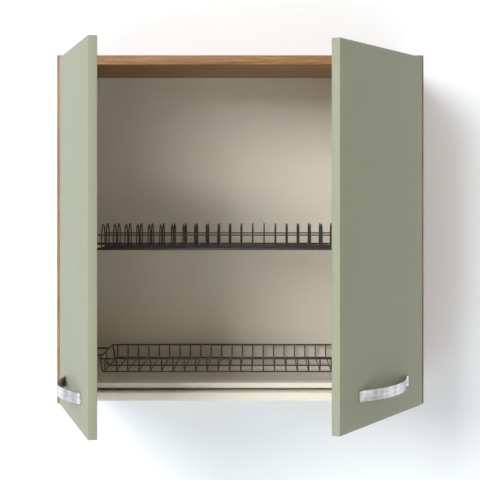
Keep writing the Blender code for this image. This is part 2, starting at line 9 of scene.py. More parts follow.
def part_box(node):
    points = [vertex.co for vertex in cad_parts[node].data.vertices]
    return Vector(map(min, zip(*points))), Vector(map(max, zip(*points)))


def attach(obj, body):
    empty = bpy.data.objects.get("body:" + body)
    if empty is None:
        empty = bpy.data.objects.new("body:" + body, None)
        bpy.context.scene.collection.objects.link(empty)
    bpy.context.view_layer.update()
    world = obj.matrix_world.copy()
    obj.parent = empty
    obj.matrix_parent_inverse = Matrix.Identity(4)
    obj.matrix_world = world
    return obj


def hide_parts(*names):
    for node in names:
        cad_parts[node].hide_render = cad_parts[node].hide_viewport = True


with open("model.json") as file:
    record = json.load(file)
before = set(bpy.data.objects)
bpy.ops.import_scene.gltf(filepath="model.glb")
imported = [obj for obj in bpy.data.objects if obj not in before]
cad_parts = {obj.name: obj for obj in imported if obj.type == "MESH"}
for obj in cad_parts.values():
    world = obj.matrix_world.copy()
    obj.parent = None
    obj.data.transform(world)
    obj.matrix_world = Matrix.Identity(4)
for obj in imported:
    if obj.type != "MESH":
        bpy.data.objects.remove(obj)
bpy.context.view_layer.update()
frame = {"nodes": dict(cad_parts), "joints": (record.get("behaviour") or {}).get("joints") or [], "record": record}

print("frame loaded")

# Driving values of the cabinet, in metres, as the frame has them
cabinet = {"width": 0.800, "height": 0.760, "depth": 0.320, "side": 0.018, "top": 0.020, "bottom": 0.018,
           "bottomRaise": 0.0055, "back": 0.003, "rebate": 0.009, "gap": 0.0003, "arris": 0.0006}
floorZ = -cabinet["height"] / 2
roofZ = cabinet["height"] / 2
innerHalf = cabinet["width"] / 2 - cabinet["side"]
spare = 0.002  # how far a cutter runs past what it cuts

# Edges are picked by the angle between their faces, in radians, or by a share of a length
limits = {"fold": 0.3, "corner": 0.5, "steep": 1.0, "sharp": 1.2, "along": 0.9, "end": 0.99}
mergeDistance = 0.00001
bendStep = 18  # degrees that one segment of a bent wire turns


# Modelling helpers

def clearPick():
    if bpy.context.view_layer.objects.active and bpy.context.mode != "OBJECT":
        bpy.ops.object.mode_set(mode="OBJECT")
    bpy.ops.object.select_all(action="DESELECT")


def takeHold(piece):
    clearPick()
    bpy.context.view_layer.objects.active = piece
    piece.select_set(True)


def pickIn(piece, kind, test=lambda part: True):  # opens edit mode with the parts that pass the test selected
    takeHold(piece)
    bpy.ops.object.mode_set(mode="EDIT")
    bpy.ops.mesh.select_mode(type=kind)
    bpy.ops.mesh.select_all(action="DESELECT")
    mesh = bmesh.from_edit_mesh(piece.data)
    for part in {"VERT": mesh.verts, "EDGE": mesh.edges, "FACE": mesh.faces}[kind]:
        if test(part):
            part.select_set(True)
    mesh.select_flush_mode()
    bmesh.update_edit_mesh(piece.data)


def leaveEdit():
    bpy.ops.object.mode_set(mode="OBJECT")


def settle(piece):  # leaves the object at the origin with its place in its mesh
    takeHold(piece)
    bpy.ops.object.transform_apply(location=True, rotation=True, scale=True)


def begin(name, addMesh, **options):  # a new primitive, with nothing else selected
    clearPick()
    addMesh(**options)
    piece = bpy.context.object
    piece.name = name
    return piece


def startBox(name, low, high):
    middle = [(a + b) / 2 for a, b in zip(low, high)]
    piece = begin(name, bpy.ops.mesh.primitive_cube_add, size=1, location=middle)
    piece.scale = [abs(b - a) for a, b in zip(low, high)]
    settle(piece)
    return piece


def pointing(heading):  # the turn that brings +Z to a heading
    return heading.to_track_quat("Z", "Y").to_matrix().to_4x4()


def startRod(name, start, end, radius, sides=32):
    start, end = Vector(start), Vector(end)
    piece = begin(name, bpy.ops.mesh.primitive_cylinder_add, vertices=sides, radius=radius,
                  depth=(end - start).length)
    piece.matrix_world = Matrix.Translation((start + end) / 2) @ pointing(end - start)
    settle(piece)
    return piece


def bent(low, high=math.pi + 1):  # a test for the edges whose faces meet at an angle between the two
    return lambda edge: low < edge.calc_face_angle(0) < high


def runsAlong(edge, axis):
    run = edge.verts[1].co - edge.verts[0].co
    return abs(run[axis]) > limits["along"] * run.length


sharpEdges = bent(limits["sharp"])


def softenEdges(piece, width, segments=2, test=bent(limits["corner"])):
    pickIn(piece, "EDGE", test)
    bpy.ops.mesh.bevel(offset=width, segments=segments, affect="EDGES", clamp_overlap=True)
    leaveEdit()


def combine(piece, helper, operation="DIFFERENCE"):  # applies a Boolean and removes its helper
    takeHold(piece)
    change = piece.modifiers.new("change", "BOOLEAN")
    change.operation = operation
    change.solver = "EXACT"
    change.object = helper
    bpy.ops.object.modifier_apply(modifier=change.name)
    bpy.data.objects.remove(helper, do_unlink=True)


def smooth(piece, degrees=35):
    takeHold(piece)
    bpy.ops.object.shade_smooth_by_angle(angle=math.radians(degrees))


def enlist(thing):  # puts a made object in the scene
    bpy.context.scene.collection.objects.link(thing)


def copyPiece(piece, name, move=(0, 0, 0)):
    made = piece.copy()
    made.data = piece.data.copy()
    made.name = name
    enlist(made)
    made.data.transform(Matrix.Translation(move))
    return made


def mirrorPiece(piece, name):  # the same piece on the other side of the cabinet
    made = copyPiece(piece, name)
    made.data.transform(Matrix.Scale(-1, 4, (1, 0, 0)))
    outwards(made)
    return made


def outwards(piece):
    pickIn(piece, "FACE")
    bpy.ops.mesh.normals_make_consistent(inside=False)
    leaveEdit()


def dress(piece, finish, body, slot, *nodes):
    piece.data.materials.clear()
    piece.data.materials.append(finish)
    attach(piece, body)
    if nodes:
        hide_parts(*nodes)


def bendWire(name, start, heading, radius, moves, sides=12, closed=False):
    # a ring of edges is drawn along runs ("go", length) and round bends ("turn", degrees, radius, axis)
    heading = Vector(heading).normalized()
    piece = begin(name, bpy.ops.mesh.primitive_circle_add, vertices=sides, radius=radius)
    piece.matrix_world = Matrix.Translation(start) @ pointing(heading)
    settle(piece)
    pickIn(piece, "EDGE")
    here = Vector(start)
    for move in moves:
        if move[0] == "go":
            step = heading * move[1]
            bpy.ops.mesh.extrude_region_move(TRANSFORM_OT_translate={"value": step})
            here = here + step
        else:
            degrees, bend, axis = move[1], move[2], Vector(move[3])
            centre = here + axis.cross(heading).normalized() * math.copysign(bend, degrees)
            steps = max(3, round(abs(degrees) / bendStep))
            bpy.ops.mesh.spin(steps=steps, angle=-math.radians(degrees), center=centre, axis=axis)
            turn = Matrix.Rotation(math.radians(degrees), 3, axis)
            here = centre + turn @ (here - centre)
            heading = turn @ heading
    bpy.ops.mesh.select_all(action="SELECT")
    if closed:
        bpy.ops.mesh.remove_doubles(threshold=mergeDistance)
    else:
        bpy.ops.mesh.fill_holes(sides=0)
    leaveEdit()
    outwards(piece)
    smooth(piece, degrees=40)
    return piece


def startStrip(name, line, half):  # an upright edge drawn out along a line of points
    strip = begin(name, bpy.ops.mesh.primitive_plane_add, size=1)
    pickIn(strip, "VERT", lambda vert: vert.index > 1)
    bpy.ops.mesh.delete(type="VERT")
    leaveEdit()
    for vert, sign in zip(strip.data.vertices, (-1, 1)):
        vert.co = line[0] + Vector((0, 0, sign * half))
    pickIn(strip, "EDGE")
    for here, there in zip(line, line[1:]):
        bpy.ops.mesh.extrude_region_move(TRANSFORM_OT_translate={"value": there - here})
    leaveEdit()
    outwards(strip)
    return strip


def thicken(sheet, thickness, offset=0):  # gives a sheet its wall: half to each side, or behind it with -1
    takeHold(sheet)
    wall = sheet.modifiers.new("wall", "SOLIDIFY")
    wall.thickness = thickness
    wall.offset = offset
    wall.use_even_offset = True
    bpy.ops.object.modifier_apply(modifier=wall.name)


# Materials

def linear(*seen):  # a colour written as it is seen, 0 to 255, in the shader's own values
    parts = [c / 255 for c in seen]
    return [c / 12.92 if c <= 0.04045 else ((c + 0.055) / 1.055) ** 2.4 for c in parts] + [1.0]


class Signal:
    def __init__(self, nodes, socket):
        self.nodes = nodes
        self.socket = socket

    def reckon(self, operation, first, second):
        return self.nodes.add("ShaderNodeMath", {"operation": operation}, {0: first, 1: second})

    def __add__(self, other):
        return self.reckon("ADD", self, other)

    def __radd__(self, other):
        return self.reckon("ADD", other, self)

    def __sub__(self, other):
        return self.reckon("SUBTRACT", self, other)

    def __rsub__(self, other):
        return self.reckon("SUBTRACT", other, self)

    def __mul__(self, other):
        return self.reckon("MULTIPLY", self, other)

    def __rmul__(self, other):
        return self.reckon("MULTIPLY", other, self)


class Nodes:
    def __init__(self, tree):
        self.tree = tree

    def add(self, kind, settings, inputs, output=0):
        node = self.tree.nodes.new(kind)
        for key, value in settings.items():
            if key == "stops":
                self.setStops(node.color_ramp, value)
            else:
                setattr(node, key, value)
        for key, value in inputs.items():
            self.feed(node.inputs[key], value)
        return Signal(self, node.outputs[output])

    def setStops(self, ramp, stops):
        while len(ramp.elements) < len(stops):
            ramp.elements.new(1.0)
        for element, (place, colour) in zip(ramp.elements, stops):
            element.position = place
            element.color = colour

    def feed(self, socket, value):
        if isinstance(value, Signal):
            self.tree.links.new(value.socket, socket)
        else:
            socket.default_value = value

    def blend(self, share, first, second):
        return self.add("ShaderNodeMix", {"data_type": "RGBA"}, {0: share, 6: first, 7: second}, 2)

    def ray(self, kind):  # one where a ray of this kind sees the surface
        return self.add("ShaderNodeLightPath", {}, {}, "Is " + kind + " Ray")


class Finish(Nodes):
    def __init__(self, name, **fixed):
        self.material = bpy.data.materials.new(name)
        self.material.use_nodes = True
        super().__init__(self.material.node_tree)
        self.shader = self.tree.nodes["Principled BSDF"]
        for socket, value in fixed.items():
            self.shader.inputs[socket].default_value = value

    def show(self, socket, value):
        self.feed(self.shader.inputs[socket], value)

    def places(self, stretch=(1, 1, 1), turn=0.0):
        spot = self.add("ShaderNodeTexCoord", {}, {}, "Object")
        turned = self.add("ShaderNodeMapping", {}, {"Vector": spot, "Rotation": (0, 0, turn)})
        return self.add("ShaderNodeMapping", {}, {"Vector": turned, "Scale": stretch})

    def noise(self, where, scale, detail=3.0, roughness=0.5):
        return self.add("ShaderNodeTexNoise", {},
                        {"Vector": where, "Scale": scale, "Detail": detail, "Roughness": roughness}, "Fac")

    def ramp(self, value, stops):
        return self.add("ShaderNodeValToRGB", {"stops": stops}, {"Fac": value})

    def roughen(self, value, values):
        self.show("Roughness", values["roughness"] + value * values["roughSpread"])

    def relief(self, height, distance):
        self.show("Normal", self.add("ShaderNodeBump", {}, {"Height": height, "Distance": distance}))


def mean(first, second):
    return first * 0.5 + second * 0.5


woodValues = {"tones": ((0.34, linear(108, 70, 36)), (0.50, linear(158, 115, 70)),
                        (0.64, linear(194, 150, 98))),
              "pore": linear(98, 65, 37), "poreRamp": ((0.34, (1, 1, 1, 1)), (0.42, (0, 0, 0, 1))),
              "poreShare": 0.55, "poreDepth": 0.6, "bands": 40.0, "fibres": 240.0, "pores": 720.0,
              "along": 0.045, "roughness": 0.42, "roughSpread": 0.2, "relief": 0.00012}


def makeWood(name, grain):  # grain is the axis that the fibres follow: 0 for X, 2 for Z
    finish = Finish(name)
    stretch = [1.0, 1.0, 1.0]
    stretch[grain] = woodValues["along"]
    where = finish.places(stretch)
    bands = finish.noise(where, woodValues["bands"], detail=4.0, roughness=0.6)
    fibres = finish.noise(where, woodValues["fibres"], detail=5.0, roughness=0.7)
    pores = finish.noise(where, woodValues["pores"], detail=2.0)
    colour = finish.ramp(mean(bands, fibres), woodValues["tones"])
    poreMask = finish.ramp(pores, woodValues["poreRamp"])
    finish.show("Base Color", finish.blend(poreMask * woodValues["poreShare"], colour, woodValues["pore"]))
    finish.roughen(fibres, woodValues)
    finish.relief(fibres - poreMask * woodValues["poreDepth"], woodValues["relief"])
    return finish.material


# Each cloud: its upright stretch, scale, detail and roughness
creamValues = {"cloud": (0.35, 6.0, 4.0, 0.6), "roughBy": "grain", "roughSpread": 0.12, "relief": 0.00006}
plainValues = {"cream board": {**creamValues, "grain": 260.0, "roughness": 0.42,
                               "light": linear(244, 239, 227), "shade": linear(237, 231, 215)},
               "cream plastic": {**creamValues, "grain": 700.0, "roughness": 0.30,
                                 "light": linear(247, 243, 235), "shade": linear(240, 235, 224)},
               "sage paint": {"light": linear(163, 166, 144), "shade": linear(156, 159, 137),
                              "cloud": (1, 5.0, 3.0, 0.5), "grain": 420.0, "roughBy": "cloud",
                              "roughness": 0.56, "roughSpread": 0.12, "relief": 0.00005},
               "clear rubber": {"light": linear(218, 218, 213), "shade": linear(206, 206, 200),
                                "cloud": (1, 500.0, 2.0, 0.5), "grain": 500.0, "roughBy": "grain",
                                "roughness": 0.35, "roughSpread": 0.15, "relief": 0.00004}}


def makePlain(name):  # a surface with a cloud in its colour and a grain in its relief
    values = plainValues[name]
    finish = Finish(name)
    upright, scale, detail, roughness = values["cloud"]
    cloud = finish.noise(finish.places((1, 1, upright)), scale, detail, roughness)
    grain = finish.noise(finish.places(), values["grain"], detail=2.0)
    finish.show("Base Color", finish.blend(cloud, values["shade"], values["light"]))
    finish.roughen({"cloud": cloud, "grain": grain}[values["roughBy"]], values)
    finish.relief(grain, values["relief"])
    return finish.material


nickelValues = {"light": linear(206, 205, 203), "shade": linear(178, 176, 173), "metallic": 1.0}
metalValues = {"graphite wire": {"light": linear(98, 97, 94), "shade": linear(54, 53, 51), "metallic": 0.80,
                                 "roughness": 0.24, "stretch": (1, 1, 1)},
               "screw steel": {**nickelValues, "roughness": 0.26, "stretch": (1, 1, 1)},
               "nickel": {**nickelValues, "roughness": 0.24, "stretch": (1, 1, 0.2)}}
metalGrain = {"lines": 900.0, "clouds": 22.0, "lineShare": 0.6, "cloudShare": 0.4, "lineRough": 0.16,
              "cloudRough": 0.06, "relief": 0.00003}


def makeMetal(name):
    values = metalValues[name]
    finish = Finish(name, Metallic=values["metallic"])
    lines = finish.noise(finish.places(values["stretch"]), metalGrain["lines"], roughness=0.6)
    cloud = finish.noise(finish.places(), metalGrain["clouds"])
    tone = lines * metalGrain["lineShare"] + cloud * metalGrain["cloudShare"]
    finish.show("Base Color", finish.blend(tone, values["shade"], values["light"]))
    rough = values["roughness"] + lines * metalGrain["lineRough"] + cloud * metalGrain["cloudRough"]
    finish.show("Roughness", rough)
    finish.relief(lines, metalGrain["relief"])
    return finish.material


# The strap's tones mix its brushing streaks with broad bands of painted reflection, and its edge colour is painted
# shade on its top and bottom faces
strapValues = {"tones": ((0.36, linear(158, 156, 156)), (0.60, linear(244, 242, 241))),
               "edge": linear(80, 79, 78), "streaks": 900.0, "streakAlong": 0.03, "bands": 42.0,
               "reflectionBandAcross": 0.02, "roughness": 0.17, "roughSpread": 0.16, "relief": 0.00003}


def makeStrapSteel(side):  # brushed along the strap, with broad bands of painted reflection along it, and painted shade on its top and bottom faces
    turn = -side * doorTurn(side)
    finish = Finish("brushed steel " + sideName(side), Metallic=1.0)
    along = (strapValues["streakAlong"], strapValues["streakAlong"], 1.0)
    streaks = finish.noise(finish.places(along, turn), strapValues["streaks"], roughness=0.6)
    across = (1.0, 1.0, strapValues["reflectionBandAcross"])
    # painted reflection: broad light and dark bands along the strap, mixed into its tone with the brushing
    bands = finish.noise(finish.places(across, turn), strapValues["bands"], detail=2.0)
    tone = finish.ramp(mean(streaks, bands), strapValues["tones"])
    # painted shade: the strap's top and bottom faces are given a dark colour
    edge = finish.add("ShaderNodeAttribute", {"attribute_name": "cutEdge"}, {}, "Fac")
    finish.show("Base Color", finish.blend(edge, tone, strapValues["edge"]))
    finish.roughen(streaks, strapValues)
    finish.relief(streaks, strapValues["relief"])
    return finish.material


# Places of the doors, from the frame's own joints

def sideName(side):
    return "left" if side < 0 else "right"


def jointNamed(name):
    return next(joint for joint in frame["joints"] if joint["name"] == name)


def linkShare(side):  # the part of a door's opening that its hinge links turn
    couplings = frame["record"]["behaviour"]["couplings"]
    return next(c["ratio"] for c in couplings if c["follows"] == sideName(side) + "_door_swing")


def fullTurn(side):  # how far the door and its links turn together from closed to rest
    return -math.radians(jointNamed(sideName(side) + "_door_swing")["range_deg"][0])


def doorTurn(side):  # how far a door stands open at rest, without its links' share
    return fullTurn(side) * (1 - linkShare(side))


hinge = {"cupPivotIn": 0.011, "cupPivotBack": -0.008, "endDistance": 0.100, "boreRadius": 0.0175,
         "boreDepth": 0.0140, "centreIn": 0.0215}
door = {"thickness": 0.018, "gap": 0.002, "reveal": 0.002, "topReveal": 0.0055, "round": 0.0014}
doorInner = -door["gap"]
doorOuter = doorInner - door["thickness"]
doorWidth = (cabinet["width"] - 2 * door["reveal"] - door["reveal"]) / 2
doorTop = roofZ - door["topReveal"]
hingeHeights = {"upper": doorTop - hinge["endDistance"], "lower": floorZ + hinge["endDistance"]}


def doorPoint(side, across, back, up):  # in from the hinged edge, back from the carcass front, and up
    return Vector((side * (hinge["cupPivotIn"] - across), back - hinge["cupPivotBack"], up))


def doorRod(name, side, across, start, end, up, radius, sides=32):  # a rod through a door's thickness
    return startRod(name, doorPoint(side, across, start, up), doorPoint(side, across, end, up), radius, sides)


def hangOnDoor(piece, side, finish, slot, node):  # from the closed door's own frame to its place at rest
    name = sideName(side)
    pivot = Vector(jointNamed(name + "_door_swing")["pos_m"])
    piece.matrix_world = Matrix.Translation(pivot) @ Matrix.Rotation(side * doorTurn(side), 4, "Z")
    settle(piece)
    dress(piece, finish, name + "_door", slot, node)


# Carcass

woodUpright = makeWood("wood veneer upright", 2)
woodAcross = makeWood("wood veneer across", 0)
creamBoard = makePlain("cream board")
creamPlastic = makePlain("cream plastic")
sagePaint = makePlain("sage paint")


def makeSides():
    half = cabinet["width"] / 2
    panel = startBox("right_side_board", (innerHalf, -cabinet["depth"], floorZ), (half, 0, roofZ))
    face = -cabinet["back"] - cabinet["gap"]
    rebate = startBox("rebate", (innerHalf - spare, face, floorZ - spare),
                      (innerHalf + cabinet["rebate"], spare, roofZ + spare))
    combine(panel, rebate)
    softenEdges(panel, cabinet["arris"])
    smooth(panel)
    dress(mirrorPiece(panel, "left_side_board"), woodUpright, "carcass", "wood_veneer", "left_side_panel")
    dress(panel, woodUpright, "carcass", "wood_veneer", "right_side_panel")


def makeBoard(name, node, finish, slot, width, segments=2):  # a frame piece's box with its edges broken
    board = startBox(name, *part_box(node))
    softenEdges(board, width, segments)
    smooth(board)
    dress(board, finish, "carcass", slot, node)


def dressBack():  # the back panel keeps its CAD shape and gets a fuller finish
    materials = frame["nodes"]["back_panel"].data.materials
    materials.clear()
    materials.append(creamBoard)


makeSides()
makeBoard("top_board", "top_panel", woodAcross, "wood_veneer", cabinet["arris"])
makeBoard("bottom_board", "bottom_panel", creamBoard, "cream_board", cabinet["arris"])
dressBack()
print("carcass made")


# Doors

handle = {"spacing": 0.224, "up": 0.063, "hole": 0.0023}


def makeDoor(side):
    name = sideName(side)
    leaf = startBox(name + "_door_leaf", doorPoint(side, 0, doorOuter, floorZ),
                    doorPoint(side, doorWidth, doorInner, doorTop))
    softenEdges(leaf, door["round"], segments=4)
    start = doorInner + spare
    for height in hingeHeights.values():
        combine(leaf, doorRod("bore", side, hinge["centreIn"], start, doorInner - hinge["boreDepth"], height,
                              hinge["boreRadius"], sides=48))
    height = floorZ + handle["up"]
    for sign in (-1, 1):
        across = doorWidth / 2 + sign * handle["spacing"] / 2
        combine(leaf, doorRod("hole", side, across, start, doorOuter - spare, height, handle["hole"], 20))
    smooth(leaf, degrees=30)
    hangOnDoor(leaf, side, sagePaint, "sage_paint", name + "_door")


for side in (-1, 1):
    makeDoor(side)
print("doors made")


# Handles: a flat strap bent into a bow, with a foot at each end

strap = {"height": 0.022, "thickness": 0.0022, "footLength": 0.012, "bowReach": 0.0285, "bowSteps": 48,
         "round": 0.0004, "foldRound": 0.0014, "shadeTilt": 0.6}


def strapLine():  # the strap's middle line as (along the door, out from it): a bow between two flat feet
    lie = strap["thickness"] / 2
    footEnd = handle["spacing"] / 2 + strap["footLength"] / 2
    footStart = footEnd - strap["footLength"]
    line = []
    for i in range(strap["bowSteps"] + 1):
        along = footStart * (1 - 2 * i / strap["bowSteps"])
        line.append((along, strap["bowReach"] - (strap["bowReach"] - lie) * (along / footStart) ** 2))
    return [(footEnd, lie)] + line + [(-footEnd, lie)]


def makeHandle(side, finish):
    name = sideName(side)
    outer = doorOuter - cabinet["gap"]
    height = floorZ + handle["up"]
    line = [doorPoint(side, doorWidth / 2 + a, outer - reach, height) for a, reach in strapLine()]
    piece = startStrip(name + "_bow_handle", line, strap["height"] / 2)
    thicken(piece, strap["thickness"])
    outwards(piece)
    softenEdges(piece, strap["foldRound"], segments=4, test=bent(limits["fold"], limits["steep"]))
    softenEdges(piece, strap["round"], segments=3, test=sharpEdges)
    smooth(piece, degrees=28)
    # the strap's top and bottom faces are marked to take the painted shade
    cut = piece.data.attributes.new("cutEdge", "FLOAT", "FACE")
    for face in piece.data.polygons:
        cut.data[face.index].value = 1.0 if abs(face.normal.z) > strap["shadeTilt"] else 0.0
    hangOnDoor(piece, side, finish, "brushed_steel", name + "_handle")


for side in (-1, 1):
    makeHandle(side, makeStrapSteel(side))
print("handles made")


# Small shared makers

def joinPieces(name, pieces):
    clearPick()
    for piece in pieces:
        piece.select_set(True)
    bpy.context.view_layer.objects.active = pieces[0]
    bpy.ops.object.join()
    pieces[0].name = name
    return pieces[0]


def roundRod(name, start, end, radius, rounding, sides=16):  # a rod whose end edges are rounded over
    rod = startRod(name, start, end, radius, sides)
    softenEdges(rod, rounding, segments=3)
    smooth(rod, degrees=40)
    return rod


def addWeld(spot, radius):  # the bead that a resistance weld leaves where two wires cross
    bead = begin("bead", bpy.ops.mesh.primitive_uv_sphere_add, segments=8, ring_count=5, radius=radius,
                 location=spot)
    settle(bead)
    bpy.ops.object.shade_smooth()
    return bead


def beadCopies(spots, radius):
    first = addWeld(spots[0], radius)
    return [first] + [copyPiece(first, "bead", Vector(spot) - Vector(spots[0])) for spot in spots[1:]]


def rowOf(cross, count, pitch):  # the piece and its copies along X
    return [cross] + [copyPiece(cross, "cross", (i * pitch, 0, 0)) for i in range(1, count)]


def cranked(leg, run, turn):  # a wire's moves out, along and back
    return [("go", leg), turn, ("go", run), turn, ("go", leg)]


def refineNode(node, name, width):  # a merged copy of a frame piece, with its sharp edges broken
    data = frame["nodes"][node].data.copy()
    made = bpy.data.objects.new(name, data)
    enlist(made)
    pickIn(made, "FACE")
    bpy.ops.mesh.remove_doubles(threshold=mergeDistance)
    bpy.ops.mesh.dissolve_limited(angle_limit=math.radians(1))
    leaveEdit()
    softenEdges(made, width)
    smooth(made)
    return made


# Plate rack: two rails, five floor wires, two hoop rails and the dividers, welded where they cross

rack = {"up": 0.335, "railRadius": 0.0027, "wireRadius": 0.0015, "endGap": 0.003, "frontDepth": 0.045,
        "backDepth": 0.300, "hoops": ((0.080, 0.136), (0.163, 0.212)), "hoopHeight": 0.0525,
        "hoopRailUp": 0.0295, "sideGap": 0.0566, "pitch": 0.0261, "dividers": 25, "seat": 0.0024,
        "bend": 0.003, "bead": 0.0019, "railRound": 0.0009, "wireRound": 0.0005}


def makeDivider(x, base):
    moves = []
    at = rack["frontDepth"]
    for start, end in rack["hoops"]:
        radius = (end - start) / 2
        rise = rack["hoopHeight"] - radius - rack["bend"]
        moves += [("go", start - rack["bend"] - at), ("turn", 90, rack["bend"], (1, 0, 0)), ("go", rise),
                  ("turn", -180, radius, (1, 0, 0)), ("go", rise), ("turn", 90, rack["bend"], (1, 0, 0))]
        at = end + rack["bend"]
    moves.append(("go", rack["backDepth"] - at))
    start = (x, rack["frontDepth"] - cabinet["depth"], base)
    return bendWire("divider", start, (0, 1, 0), rack["wireRadius"], moves, sides=10)


def makePlateRack(finish):
    base = floorZ + rack["up"]
    depth = cabinet["depth"]
    railHalf = innerHalf - rack["endGap"]
    wireHalf = innerHalf - rack["sideGap"]
    hoopEnds = [end for pair in rack["hoops"] for end in pair]
    floorDepths = hoopEnds + [(hoopEnds[-1] + rack["backDepth"]) / 2]

    def places(seat):  # of the long wires, or of their welds at half the seat
        return ([(back - depth, base - seat) for back in floorDepths]
                + [(hoopEnds[0] - seat - depth, base + rack["hoopRailUp"]),
                   (hoopEnds[-1] + seat - depth, base + rack["hoopRailUp"])])

    pieces = [roundRod("rail", (-railHalf, y, base), (railHalf, y, base), rack["railRadius"],
                       rack["railRound"]) for y in (rack["frontDepth"] - depth, rack["backDepth"] - depth)]
    pieces += [roundRod("long_wire", (-wireHalf, y, z), (wireHalf, y, z), rack["wireRadius"],
                        rack["wireRound"], sides=12) for y, z in places(rack["seat"])]
    firstX = -(rack["dividers"] - 1) / 2 * rack["pitch"]
    divider = makeDivider(firstX, base)
    beads = beadCopies([(firstX, y, z) for y, z in places(rack["seat"] / 2)], rack["bead"])
    pieces += rowOf(joinPieces("cross", [divider] + beads), rack["dividers"], rack["pitch"])
    made = joinPieces("wire_plate_rack", pieces)
    dress(made, finish, "plate_rack", "graphite_wire", "plate_rack")


wireFinish = makeMetal("graphite wire")
makePlateRack(wireFinish)
print("plate rack made")


# Cup basket: a rim wire, three long wires, the ribs and an ear at each end

basket = {"rimUp": 0.0889, "floorUp": 0.0614, "frontDepth": 0.0615, "backDepth": 0.3035,
          "middleDepth": 0.1645, "sideGap": 0.065, "floorInset": 0.0067, "rimRadius": 0.0018,
          "wireRadius": 0.0015, "weld": 0.0006, "pitch": 0.0253, "ribs": 25, "bend": 0.005,
          "cornerBend": 0.008, "earFront": 0.120, "earBack": 0.240, "earRadius": 0.0022, "bead": 0.0020}


def makeRim(half, front, back, up):
    bend = basket["cornerBend"]
    deep = back - front - 2 * bend
    moves = []
    for run in (half - bend, deep, 2 * (half - bend), deep, half - bend):
        moves += [("go", run), ("turn", 90, bend, (0, 0, 1))]
    moves.pop()
    return bendWire("basket_rim", (0, front, up), (1, 0, 0), basket["rimRadius"], moves, closed=True)


def makeLongWire(y, topHalf, lowHalf, up, low):
    drop = Vector((topHalf - lowHalf, 0, low - up))
    angle = 90 - math.degrees(math.atan2(drop.x, -drop.z))
    tangent = basket["bend"] * math.tan(math.radians(angle / 2))
    turn = ("turn", angle, basket["bend"], (0, -1, 0))
    moves = cranked(drop.length - tangent, 2 * (lowHalf - tangent), turn)
    return bendWire("long_wire", (-topHalf, y, up), drop, basket["wireRadius"], moves, sides=10)


def makeEar(side, near, far, front, back, up):
    bend = basket["bend"]
    moves = cranked(far - near - bend, back - front - 2 * bend, ("turn", 90, bend, (0, 0, side)))
    return bendWire("ear", (side * near, front, up), (side, 0, 0), basket["earRadius"], moves)


def makeCupBasket(finish):
    depth = cabinet["depth"]
    up = floorZ + basket["rimUp"]
    low = floorZ + basket["floorUp"]
    front, back = basket["frontDepth"] - depth, basket["backDepth"] - depth
    half = innerHalf - basket["sideGap"]
    lowHalf = half - basket["floorInset"]
    inset = basket["rimRadius"] + basket["wireRadius"] - basket["weld"]
    seat = 2 * basket["wireRadius"] - basket["weld"]
    bend = basket["bend"]
    near, far = front + inset, back - inset
    longPlaces = (near + bend, basket["middleDepth"] - depth, far - bend)
    pieces = [makeRim(half, front, back, up)]
    pieces += [makeLongWire(y, half - inset, lowHalf, up, low - seat) for y in longPlaces]
    earFar = innerHalf - rack["endGap"] - basket["earRadius"]
    pieces += [makeEar(side, half, earFar, basket["earFront"] - depth, basket["earBack"] - depth, up)
               for side in (-1, 1)]
    firstX = -(basket["ribs"] - 1) / 2 * basket["pitch"]
    moves = cranked(up - low - bend, far - near - 2 * bend, ("turn", 90, bend, (1, 0, 0)))
    rib = bendWire("rib", (firstX, near, up), (0, 0, -1), basket["wireRadius"], moves, sides=10)
    spots = [(firstX, y, low - seat / 2) for y in longPlaces]
    spots += [(firstX, (front + near) / 2, up), (firstX, (back + far) / 2, up)]
    cross = joinPieces("cross", [rib] + beadCopies(spots, basket["bead"]))
    made = joinPieces("wire_cup_basket", pieces + rowOf(cross, basket["ribs"], basket["pitch"]))
    dress(made, finish, "cup_basket", "graphite_wire", "cup_basket")


makeCupBasket(wireFinish)
print("cup basket made")


# Drip tray: a moulded sheet with a rounded basin, turned down at its rim

tray = {"up": 0.0404, "height": 0.011, "wall": 0.0018, "frontDepth": 0.025, "backDepth": 0.314,
        "sideGap": 0.002, "basinFront": 0.066, "basinBack": 0.300, "basinSide": 0.082, "basinRound": 0.030,
        "basinDepth": 0.0092, "cornerRound": 0.004, "arcSteps": 10, "draft": 0.985, "edgeRound": 0.0011}


def roundedLoop(half, front, back, up, radius):  # the bare outline of a plate with rounded corners
    piece = begin("loop", bpy.ops.mesh.primitive_plane_add, size=1, location=(0, (front + back) / 2, up))
    piece.scale = (2 * half, back - front, 1)
    settle(piece)
    pickIn(piece, "VERT")
    bpy.ops.mesh.bevel(offset=radius, segments=tray["arcSteps"], affect="VERTICES")
    bpy.ops.mesh.select_all(action="SELECT")
    bpy.ops.mesh.delete(type="ONLY_FACE")
    leaveEdit()
    return piece


